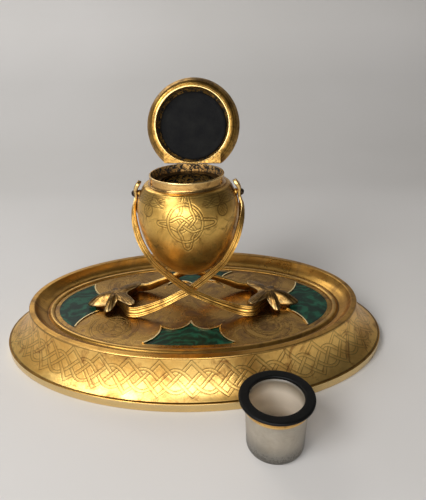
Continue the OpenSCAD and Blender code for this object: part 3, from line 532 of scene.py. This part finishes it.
# Veins are 0.4 mm wide on the leaf and are drawn 0.8 mm wide to show
vein = np.zeros_like(radius)
ribs = np.zeros_like(radius)
for g in gap:
    off = radius * np.sin(np.radians(np.minimum(g, 90)))[None]
    vein = np.maximum(vein, np.exp(-(off / 0.5) ** 2) * (g < 36)[None])
    for flute in (2.0, 3.9):
        ribs = np.maximum(ribs, np.exp(-((off - flute * share) / 0.45) ** 2) * (g < 36)[None])
lip = np.exp(-((1 - share) / 0.09) ** 2) * np.ones_like(radius)
top_z = np.minimum(leaf_z, top_z - (0.22 * vein + 0.2 * ribs) * (share > 0.2) + 0.5 * lip)
x, y = radius * np.cos(np.radians(angle)), radius * np.sin(np.radians(angle))
upper = np.stack([x, y, top_z], -1)
lower = np.stack([x, y, top_z - leaf_t * (1 - 0.45 * lip)], -1)[::-1]
leaf_grid = np.concatenate([upper, lower])
leaf_marks = {"cut": np.concatenate([0.85 * np.maximum(vein, ribs) * (share > 0.2), 0 * vein]),
              "rub": np.concatenate([0.3 * lip, 0 * lip])}
for side, sign in (("right", 1), ("left", -1)):
    grid = leaf_grid * (sign, 1, 1) + (sign * leaf_x, 0, 0)
    piece = skin("leaf_clip_" + side + "_leaf", "base", leaf_gilt, grid, leaf_marks)
    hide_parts("leaf_clip_" + side)


# Pot: a round-bellied pot, cast and turned in bronze, engraved and fire-gilt. It bears a
# ringed knot in front and behind, and a plait runs round its shoulder. The trunnion bosses
# are part of it.
pot_r, _, neck_z = corners("pot_body")[1]
belly_z, low_h, top_h, pot_t, neck_r = 107.0, 52.0, 35.0, 2.2, 26.9
shoulder_z = neck_z - 1.4
# Gilding over a turned surface, with clouds of brown tarnish
pot_gilt = gilding("fire_gilt_bronze_pot", "#eec36b", "#bd8f43", "#74552a",
                   cloud_mm=30, tarnish_share=0.28, rough=0.34, grain=0.03, dirt_and_shade_share=0.9)


def pot_radius(z, shrink=0.0):
    """The pot's radius at a height, or its inner radius with the wall's thickness taken off."""
    h = np.where(z < belly_z, low_h, top_h) - shrink
    return (pot_r - shrink) * np.sqrt(np.clip(1 - ((z - belly_z) / h) ** 2, 1e-7, 1))


upper_rows = 150
lower_z = belly_z - low_h * np.cos(np.linspace(0.005, math.radians(69), 46))
rows_z = np.concatenate([lower_z, np.linspace(lower_z[-1] + 0.3, shoulder_z, upper_rows)])
rows_r = pot_radius(rows_z)
rim_of_pot = [(rows_r[-1] - 1.1, neck_z - 0.4), (neck_r + 1.2, neck_z), (neck_r - 2.6, neck_z),
              (neck_r - 2.6, neck_z - pot_t)]
inner_z = np.linspace(shoulder_z - pot_t, belly_z - low_h + pot_t + 0.1, 26)
rows_r = np.concatenate([rows_r, [p[0] for p in rim_of_pot], pot_radius(inner_z, pot_t)])
rows_z = np.concatenate([rows_z, [p[1] for p in rim_of_pot], inner_z])
# Columns spread apart where the knots are, in front and behind, and crowd at the sides
theta = np.linspace(0, 2 * math.pi, 720, endpoint=False)
theta = theta - 0.16 * np.sin(2 * theta)
from_front, from_back = [(np.degrees(theta) - middle + 540) % 360 - 180 for middle in (270, 90)]
swing_mm = pot_r * np.radians(np.where(np.abs(from_front) < 90, from_front, from_back))


def from_curve(u, z, curve):
    """Distance of points from a drawn curve, and the number of its nearest point."""
    best = np.full(np.shape(u), 1e9)
    nearest = np.zeros(best.shape, int)
    for k, (cu, cz) in enumerate(curve):
        d = np.hypot(u - cu, z - cz)
        closer = d < best
        best = np.where(closer, d, best)
        nearest = np.where(closer, k, nearest)
    return best, nearest


# The knot is a ring with a strand of four long loops woven through it. Both are cut into
# arcs, and each arc has a height, so that it runs over one neighbour and under the next.
phi = np.linspace(0, 2 * math.pi, 264, endpoint=False)
knot_z, loops_z = 109.6, 108.2
knot_ring = np.stack([0.4 + 12.0 * np.cos(phi),
                      knot_z + 14.3 * np.sin(phi) * np.where(np.sin(phi) > 0, 0.85, 1)], -1)
loops = np.stack([9.2 * np.cos(phi) + 11.6 * np.cos(3 * phi),
                  9.2 * np.sin(phi) - 11.6 * np.sin(3 * phi)], -1)
# The loops to the left and right, then those above and below, are drawn narrower
narrow = 1 - np.where(loops[:, 0] < 0, 0.66, 0.5) * np.clip((np.abs(loops[:, 0]) - 4) / 9, 0, 1)
narrow_too = 1 - 0.5 * np.clip((np.abs(loops[:, 1]) - 4) / 9, 0, 1)
loops = np.stack([1.4 + loops[:, 0] * narrow_too, loops_z + 0.9 * loops[:, 1] * narrow], -1)
arcs = []
for curve, crossings, start in ((knot_ring, 4, 0.6), (loops, 12, 0)):
    for k in range(24):
        part = np.arange(k * 11 - 1, k * 11 + 13) % 264
        arcs.append((curve[part], np.sin(crossings * phi[part] + start), curve is knot_ring, k))
outer_rows = len(lower_z) + upper_rows
pot_cuts_and_shade = np.zeros((len(rows_z), len(theta)))
outside = pot_cuts_and_shade[:outer_rows]
zone = np.broadcast_to(rows_z[:outer_rows, None], (outer_rows, len(theta)))
spread = np.broadcast_to(swing_mm[None], zone.shape)
near = (np.abs(spread - 1) < 24) & (zone > 86)
found = []
for curve, over, is_ring, k in arcs:
    d, n = from_curve(spread[near], zone[near], curve)
    found.append((np.where((n == 0) | (n == len(curve) - 1), 99, d), over[n], is_ring, k))
# Lines are 0.25 mm wide on the pot and are drawn 0.4 mm wide to show
half_strand = 0.95
knot_cut = np.zeros(near.sum())
for d, over, is_ring, k in found:
    line = np.exp(-((d - half_strand) / 0.25) ** 2)
    for d2, over2, is_ring2, k2 in found:
        if is_ring != is_ring2 or min(abs(k - k2), 24 - abs(k - k2)) > 1:
            line = line * ~((d2 < half_strand) & (over2 > over))
    knot_cut = np.maximum(knot_cut, line)
outside[near] = knot_cut
# Shoulder: three border lines, and a plait between the lower two that stops at the knots
for line_z, width in ((125.1, 0.22), (124.0, 0.2), (118.3, 0.22)):
    clear = (np.abs(spread) > 16) | (line_z > 124)
    line = 0.8 * clear * np.exp(-((zone - line_z) / width) ** 2)
    np.maximum(outside, line, out=outside)
plait = np.zeros_like(zone)
for phase in (0, 1):
    wave = 121.2 + 1.9 * np.sin(spread / 3.3 + phase * math.pi)
    d = np.abs(zone - wave) / np.sqrt(1 + 0.33 * np.cos(spread / 3.3 + phase * math.pi) ** 2)
    plait = np.maximum(plait, np.exp(-((d - 0.75) / 0.26) ** 2))
plait = 0.85 * plait * (np.abs(spread) > 15) * (zone > 118.5) * (zone < 123.8)
np.maximum(outside, plait, out=outside)
# Small cross-hatched pendants hang from the border between the knots
for centre in (-29.2, 29.2):
    inner = 1 - ((spread - centre) / 4.6) ** 2 - ((zone - 115.2) / 4.4) ** 2
    hatch = np.maximum(np.cos((spread + zone) * 2.6), np.cos((spread - zone) * 2.6)) ** 8
    edge = np.exp(-(inner / 0.16) ** 2)
    np.maximum(outside, 0.8 * np.maximum(hatch * (inner > 0), edge), out=outside)
hollow = 0.18 * pot_cuts_and_shade
# Painted dark reflection of the lid on the shoulder, from the lowest border up
np.maximum(outside, 0.42 * np.clip((zone - 117.5) / 3, 0, 1), out=outside)
pot_grid = oval(rows_r[:, None] - hollow, rows_r[:, None] - hollow, rows_z[:, None], theta)
inside = (np.arange(len(rows_z)) >= outer_rows + 2).astype(float)
pot = skin("pot_shell", "pot", pot_gilt, pot_grid, {"cut": pot_cuts_and_shade, "soot": inside[:, None]})
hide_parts("pot_body")


def on_trunnion(outline, sign):
    """Points of a piece turned about the trunnions: its outline holds radii and reaches."""
    around = np.linspace(0, 2 * math.pi, 40, endpoint=False)
    return np.stack([sign * np.broadcast_to(outline[:, 1:], (len(outline), 40)),
                     outline[:, :1] * np.cos(around),
                     trunnion_z + outline[:, :1] * np.sin(around)], -1)


boss = np.array([(2.5, 31.5), (2.5, 34.4), (2.7, 34.8), (2.5, 35.2), (2.5, 35.7), (2.3, 35.9),
                 (1.6, 35.9), (1.6, 31.5)])
for side, sign in (("left", -1), ("right", 1)):
    grid = on_trunnion(boss, sign)
    skin("trunnion_boss_" + side, "pot", pot_gilt, grid, along=True)


# Neck ring: a turned bronze ring, soldered on the shoulder, with a burnished outside. Inside
# it is stained black by ink, and it holds the flat seat that the liner hangs in.
neck = np.array([
    (28.0, 126.8), (27.9, 127.1), (27.3, 127.4), (26.85, 127.9), (26.82, 129.2),
    (26.82, 131.6), (26.72, 132.2), (26.9, 132.8), (26.9, 133.3), (26.75, 133.6), (26.4, 133.7),
    (25.9, 133.7), (25.6, 133.55), (25.5, 133.2), (25.5, 130.5), (25.5, 128.2), (25.5, 126.8)])


def turned(outline, columns, z=0.0):
    """Points of a piece turned about the Z axis: its outline holds radii and heights."""
    around = np.linspace(0, 2 * math.pi, columns, endpoint=False)
    return oval(outline[:, :1], outline[:, :1], z + outline[:, 1:], around)


# Gilt and burnished with a stone: the brightest gold here, with sharp glints
neck_gilt = gilding("fire_gilt_bronze_burnished", "#e9bd76", "#c3914e", "#805c36",
                    cloud_mm=18, tarnish_share=0.25, rough=0.2)
rubbed = np.array([0, 0.1, 0, 0, 0, 0, 0, 0.3, 0.5, 0.6, 0.5, 0.4, 0.3, 0.1, 0, 0, 0])
sooty = np.array([0] * 12 + [0.6, 1.0, 1.0, 1.0, 1.0])
grimy = np.array([0.8, 0.4, 0.3, 0.6, 0, 0, 0.15] + [0] * 10)
piece = skin("neck_ring_turned", "pot", neck_gilt, turned(neck, 220),
             {"rub": rubbed[:, None], "soot": sooty[:, None], "cut": grimy[:, None]},
             along=True)
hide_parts("neck_ring")
# Bare bronze under years of ink: almost black, with gold where the liner rubs it
inked = gilding("ink_stained_bronze", "#8c6b3a", "#4c3820", "#241c14",
                cloud_mm=7, tarnish_share=0.9, rough=0.42, grain=0.4)
dress(inked, "liner_seat")

# Hinge and trunnions: the hinge's bracket, leaf and pin, and the studs and washers that the
# pot hangs on. They are filed or turned in bronze, thinly gilt and never polished.
# Thin gilding left as it came from the file: a dull brown gold in small clouds
hinge_gilt = gilding("fire_gilt_bronze_hinge", "#b88f4c", "#8d6a34", "#4b371e",
                     cloud_mm=5, tarnish_share=0.5, rough=0.42)
dress(hinge_gilt, "hinge_bracket", "lid_hinge_leaf", "hinge_pin", "trunnion_studs",
      "trunnion_washers")

# Trunnion nuts: small domed nuts, turned in steel and blackened. They are screwed on the
# studs outside the straps.
# The blacking is brown where it is thin, and the dome keeps a dull gleam
steel, tree, place = blank("blackened_steel_domed")
scale_mm = add(tree, "TexNoise", {"Vector": place, "Scale": 1000 / 1.5, "Detail": 4})
dark = add(tree, "ValToRGB", {"Fac": scale_mm}, stops=[(0.4, "#2b2622"), (0.7, "#5d5044")])
dull = add(tree, "MapRange", {"Value": scale_mm, "To Min": 0.2, "To Max": 0.4})
relief = add(tree, "Bump", {"Height": scale_mm, "Strength": 0.15, "Distance": 0.0002})
shader = add(tree, "BsdfPrincipled", {"Base Color": dark, "Roughness": dull, "Metallic": 1.0,
                                      "Normal": relief})
add(tree, "OutputMaterial", {"Surface": shader})
dome = np.array([(2.6, 38.6), (2.6, 38.95), (2.5, 39.2), (2.3, 39.7), (1.95, 40.2),
                 (1.4, 40.65), (0.7, 40.93), (0.02, 41.0)])
for side, sign in (("left", -1), ("right", 1)):
    piece = skin("trunnion_nut_" + side, "base", steel, on_trunnion(dome, sign))
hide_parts("trunnion_nuts")


# Lid: a domed lid, spun and turned in gilt bronze, with a flared flange and a moulded edge.
# It is cut off straight at the back, where its hinge is, and it stands open. The wall inside
# is spattered with ink.
hinge_at = np.array(joint_of["lid_hinge"]["pos_m"]) * 1000
hinge_y, hinge_z = round(math.hypot(*hinge_at[:2]), 2), round(hinge_at[2], 2)
swung = math.radians(-joint_of["lid_hinge"]["range_deg"][1])
# The hinge stands 4 degrees round from the pot's back
hinge_turn = math.radians(-4)
lid_back, mouth_z = 28.8, 127.8


def opened(grid):
    """Points of the shut lid, swung open about the hinge pin."""
    x, y, z = grid[..., 0], grid[..., 1] - hinge_y, grid[..., 2] - hinge_z
    back = hinge_y + y * math.cos(swung) - z * math.sin(swung)
    return np.stack([x * math.cos(hinge_turn) - back * math.sin(hinge_turn),
                     x * math.sin(hinge_turn) + back * math.cos(hinge_turn),
                     hinge_z + y * math.sin(swung) + z * math.cos(swung)], -1)


# Outline from the mouth over the flange and the dome, and back inside. The flange flares out
# and up by 6.5 mm
flange, flare_turn = 6.5, math.radians(81)
profile = [(27.6, 1.4), (27.75, 0.7), (28.1, 0.15), (28.5, 0.0), (28.95, 0.0), (29.2, 0.15)]
for k in range(1, 16):
    a = flare_turn * k / 15
    ridge = 0.22 * math.cos(k * 1.9) if 3 < k < 14 else 0
    profile.append((29.2 + flange * math.sin(a) / math.sin(flare_turn) + ridge - 0.1,
                    flange * (1 - math.cos(a)) / (1 - math.cos(flare_turn))))
profile += [(36.0, 6.7), (36.2, 7.1), (36.2, 8.5), (36.0, 8.95), (35.6, 9.1)]
profile += [(35.6 * math.cos(math.radians(a)), 9.1 + 12.4 * math.sin(math.radians(a)))
            for a in np.linspace(4, 89.95, 40)]
profile += [(22 * math.cos(math.radians(a)), 8.9 + 10.6 * math.sin(math.radians(a)))
            for a in np.linspace(89.95, 0, 14)]
profile += [(27.6, 8.9), (27.6, 5.0), (27.6, 2.5)]
grid = turned(np.array(profile), 288, mouth_z)
grid[..., 1] = np.minimum(grid[..., 1], lid_back)
# Spun, turned and thinly gilt: an older, browner gold than the tray's
lid_gilt = gilding("fire_gilt_bronze_lid", "#cd9e4e", "#8c6a31", "#5a4425",
                   cloud_mm=11, tarnish_share=0.38, rough=0.3)
rubbed = np.zeros(len(profile))
rubbed[2:5] = 0.4
rubbed[21:26] = 0.2
grimy = np.zeros(len(profile))
grimy[7:20:3] = 0.8
grimy[5:7] = 0.5
sooty = np.zeros(len(profile))
# Ink has spattered the inside, which is the last 17 rows
sooty[-17:] = 1
piece = skin("lid_dome", "lid", lid_gilt, opened(grid),
             {"rub": rubbed[:, None], "cut": grimy[:, None], "soot": sooty[:, None]}, along=True)
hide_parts("lid_shell")

# Lid pad: a disc of card under black leather cloth, pressed into the lid's ceiling. It is
# matt, a little puckered and dusty.
cloth, tree, place = blank("black_leathercloth_dusty")
# Grain cells are 0.6 mm on the cloth and are drawn at 1.4 mm to show
cells = add(tree, "TexVoronoi", {"Vector": place, "Scale": 1000 / 1.4})
dust = add(tree, "TexNoise", {"Vector": place, "Scale": 1000 / 11, "Detail": 6,
                              "Roughness": 0.7})
black = add(tree, "ValToRGB", {"Fac": dust}, stops=[(0.35, "#070709"), (0.7, "#141413")])
puckered = add(tree, "Math", {0: dust, 1: 3.0, 2: cells}, operation="MULTIPLY_ADD")
relief = add(tree, "Bump", {"Height": puckered, "Strength": 0.35, "Distance": 0.0004})
shader = add(tree, "BsdfPrincipled", {"Base Color": black, "Roughness": 0.75,
                                      "Specular IOR Level": 0.12, "Normal": relief})
add(tree, "OutputMaterial", {"Surface": shader})
pad = np.array([(25.8, 0.0), (25.8, -1.5), (25.6, -2.0), (25.1, -2.35), (24.2, -2.5),
                (23.0, -2.45), (22.4, -2.3), (21.4, -2.3), (19.8, -2.42), (15, -2.5), (10, -2.5),
                (5, -2.48), (0.03, -2.5)])
noise = np.random.default_rng(7)
grid = turned(pad, 288, mouth_z + 8.9)
# The cloth is puckered in waves that run round it
whirl = np.linspace(0, 2 * math.pi, 288, endpoint=False)
wave = sum(noise.uniform(0.02, 0.06) * np.sin(k * whirl + noise.uniform(0, 6))
           for k in range(3, 12))
grid[3:-3, :, 2] += wave * 0.5 + 0.1
piece = skin("lid_pad_cloth", "lid", cloth, opened(grid))
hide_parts("lid_pad")


# Glass liner: a thick pressed-glass cup that lifts out of the pot. It stands by itself in
# front of the tray. The glass is etched by years of washing, and ink has dried low down.
liner_at = corners("liner_collar").mean(0) * (1, 1, 0)
glass, tree, place = blank("pressed_glass_etched")
bloom = add(tree, "TexNoise", {"Vector": place, "Scale": 1000 / 9, "Detail": 6,
                               "Roughness": 0.7, "Distortion": 0.5})
spots = add(tree, "TexNoise", {"Vector": place, "Scale": 1000 / 1.3, "Detail": 3,
                               "Roughness": 0.8})
high = add(tree, "SeparateXYZ", {0: place}, out="Z")
low = add(tree, "MapRange", {"Value": high, "From Min": 0.0, "From Max": 0.016,
                             "To Min": 0.62, "To Max": 0.0})
spots = add(tree, "Math", {0: spots, 1: low}, operation="ADD")
spots = add(tree, "ValToRGB", {"Fac": spots}, stops=[(0.86, 0.0), (1.04, 0.7)])
haze = add(tree, "ValToRGB", {"Fac": bloom}, stops=[(0.3, "#a5a094"), (0.7, "#cfcbc1")])
# Lime left by water clouds the inside, and a brown line of it stays in the bottom's corner
lime, corner = [add(tree, "Attribute", out="Fac", attribute_name=mark)
                for mark in ("rub", "cut")]
haze = add(tree, "MixRGB", {"Fac": lime, "Color1": haze, "Color2": "#faecd9"})
haze = add(tree, "MixRGB", {"Fac": corner, "Color1": haze, "Color2": "#8c7a5c"})
clear = add(tree, "Math", {0: lime, 1: -0.55, 2: 0.84}, operation="MULTIPLY_ADD")
tint = add(tree, "MixRGB", {"Fac": spots, "Color1": haze, "Color2": "#3b352c"})
etched = add(tree, "MapRange", {"Value": bloom, "From Min": 0.3, "From Max": 0.7,
                                "To Min": 0.28, "To Max": 0.5})
relief = add(tree, "Bump", {"Height": bloom, "Strength": 0.1, "Distance": 0.0004})
shader = add(tree, "BsdfPrincipled", {"Base Color": tint, "Roughness": etched, "IOR": 1.5,
                                      "Transmission Weight": clear, "Normal": relief})
add(tree, "OutputMaterial", {"Surface": shader})
cup = [(0.05, 0.5), (10, 0.5), (12.6, 0.1), (14.2, 0)]
cup += [(14.2 + 3 * math.cos(math.radians(a)), 3 + 3 * math.sin(math.radians(a)))
        for a in np.linspace(-75, 0, 8)]
cup += [(17.4, 12), (17.8, 22), (18.1, 30), (18.2, 32.6), (18.2, 35.2),
        (16.0, 35.2), (15.8, 33), (15.5, 26), (15.1, 15), (14.7, 7.5), (13.8, 6), (11.5, 5.2),
        (7, 5.0), (0.05, 5.0)]
limed = np.array([0] * 18 + [0.3, 0.9, 1, 1, 1, 1, 1, 1])
cornered = np.array([0] * 17 + [0, 0.7, 0.1, 0.1, 0.7, 0.1, 0, 0, 0])
piece = skin("glass_liner_cup", "liner", glass, turned(np.array(cup), 128) + liner_at,
             {"rub": limed[:, None], "cut": cornered[:, None]})
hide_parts("glass_liner")

# Liner collar: a turned band of gilt brass round the glass, under the ring. It is cemented
# to the glass.
collar = np.array([(18.25, 30.1), (18.9, 30.1), (19.15, 30.4), (19.2, 31.0), (19.05, 31.6),
                   (19.1, 32.6), (19.15, 33.8), (19.2, 34.8), (19.1, 35.2), (18.25, 35.2)])
# Turned and gilt brass: a warm, even gold with a soft gleam
collar_gilt = gilding("gilt_brass_turned", "#e8b76a", "#bb8c4a", "#7a5830",
                      cloud_mm=12, tarnish_share=0.25, rough=0.36)
piece = skin("liner_collar_turned", "liner", collar_gilt, turned(collar, 128) + liner_at,
             {"rub": np.array([0, 0, 0.4, 0.5, 0, 0, 0.5, 0.4, 0, 0.0])[:, None]}, along=True)
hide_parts("liner_collar")

# Liner ring: a moulded ring of hard black rubber that the liner hangs by. It is satin black,
# worn greyish on its edges.
rubber, tree, place = blank("hard_rubber_black_satin")
wear = add(tree, "TexNoise", {"Vector": place, "Scale": 1000 / 4, "Detail": 5,
                              "Roughness": 0.7})
black = add(tree, "ValToRGB", {"Fac": wear}, stops=[(0.35, "#040404"), (0.72, "#0b0b0a")])
satin = add(tree, "MapRange", {"Value": wear, "To Min": 0.35, "To Max": 0.55})
relief = add(tree, "Bump", {"Height": wear, "Strength": 0.12, "Distance": 0.0003})
shader = add(tree, "BsdfPrincipled", {"Base Color": black, "Roughness": satin, "IOR": 1.55,
                                      "Specular IOR Level": 0.13, "Normal": relief})
add(tree, "OutputMaterial", {"Surface": shader})
ring = np.array([(15.8, 35.2), (21.4, 35.2), (21.8, 35.45), (21.9, 35.9), (21.9, 36.5),
                 (21.7, 36.9), (21.2, 37.15), (20.4, 37.2), (18.5, 37.1), (17.0, 37.2),
                 (16.3, 37.1), (15.9, 36.8), (15.8, 36.3)])
piece = skin("liner_ring_moulded", "liner", rubber, turned(ring, 128) + liner_at, along=True)
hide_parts("liner_ring")


# Desk and light: a sheet of pale paper that curves up behind the object, under soft lamps at
# the left, in front and behind. The room is lighter in front and at the left.
paper, tree, place = blank("matt_backdrop_paper")
fibre = add(tree, "TexNoise", {"Vector": place, "Scale": 3.0, "Detail": 3})
pale = add(tree, "ValToRGB", {"Fac": fibre}, stops=[(0.3, "#cbc8c4"), (0.7, "#d0cdca")])
behind, above = [add(tree, "SeparateXYZ", {0: place}, out=axis) for axis in "YZ"]
away = add(tree, "Math", {0: behind, 1: above}, operation="ADD")
# Painted shade: the paper darkens away from the front, most where it bends up behind the tray
away = add(tree, "MapRange", {"Value": away, "From Min": -0.3, "From Max": 1.2})
painted_shade_ramp = add(tree, "ValToRGB", {"Fac": away}, stops=[(0.0, 1.0), (1.0, 0.7), (0.42, 0.88),
                                                     (0.58, 0.74), (0.78, 0.68), (0.9, 0.73)])
pale = add(tree, "MixRGB", {"Fac": 1.0, "Color1": pale, "Color2": painted_shade_ramp},
           blend_type="MULTIPLY")
shader = add(tree, "BsdfPrincipled", {"Base Color": pale, "Roughness": 0.7})
add(tree, "OutputMaterial", {"Surface": shader})
run = np.array([(-1600, 0), (400, 0)] + [(400 + 500 * math.sin(a), 500 * (1 - math.cos(a)))
               for a in np.linspace(0.1, math.pi / 2, 14)] + [(900, 1700)])
grid = np.stack([np.broadcast_to(np.array([-1900, 1900.0])[None], (len(run), 2)),
                 np.broadcast_to(run[:, :1], (len(run), 2)),
                 np.broadcast_to(run[:, 1:], (len(run), 2))], -1)
backdrop = skin("backdrop", "base", paper, grid, across=False)
backdrop.parent = None

world = bpy.data.worlds.new("room")
bpy.context.scene.world = world
world.use_nodes = True
tree = world.node_tree
tree.nodes.clear()
aim = add(tree, "TexCoord", out="Generated")
beside, behind, above = [add(tree, "SeparateXYZ", {0: aim}, out=axis) for axis in "XYZ"]
room = add(tree, "MapRange", {"Value": beside, "From Min": -0.9, "From Max": 0.7,
                              "To Min": 0.55, "To Max": 0.14})
ceiling = add(tree, "MapRange", {"Value": above, "From Min": 0.1, "From Max": 0.8,
                                 "To Min": 1.0, "To Max": 0.35})
room = add(tree, "Math", {0: room, 1: ceiling}, operation="MULTIPLY")
window = add(tree, "MapRange", {"Value": behind, "From Min": -0.95, "From Max": -0.2,
                                "To Min": 1.9, "To Max": 1.0})
room = add(tree, "Math", {0: room, 1: window}, operation="MULTIPLY")
sky = add(tree, "Background", {"Color": "#f2efec", "Strength": room})
add(tree, "OutputWorld", {"Surface": sky})

for name, at, aim_at, size, height, watts in (
        ("lamp_left", (-0.85, -0.8, 1.2), (0, 0, 0.05), 0.7, 0.7, 15),
        ("lamp_front", (-0.4, -1.6, 0.62), (0, 0, 0.05), 1.8, 0.8, 25),
        ("lamp_behind", (-0.5, 0.75, 0.9), (0, 0, 0.1), 0.7, 0.7, 4)):
    lamp = bpy.data.objects.new(name, bpy.data.lights.new(name, "AREA"))
    bpy.context.scene.collection.objects.link(lamp)
    lamp.data.shape = "RECTANGLE"
    lamp.data.size = size
    lamp.data.size_y = height
    lamp.data.energy = watts
    lamp.location = at
    lamp.rotation_euler = (Vector(at) - Vector(aim_at)).to_track_quat("Z", "Y").to_euler()

bpy.context.scene.view_settings.view_transform = "Standard"
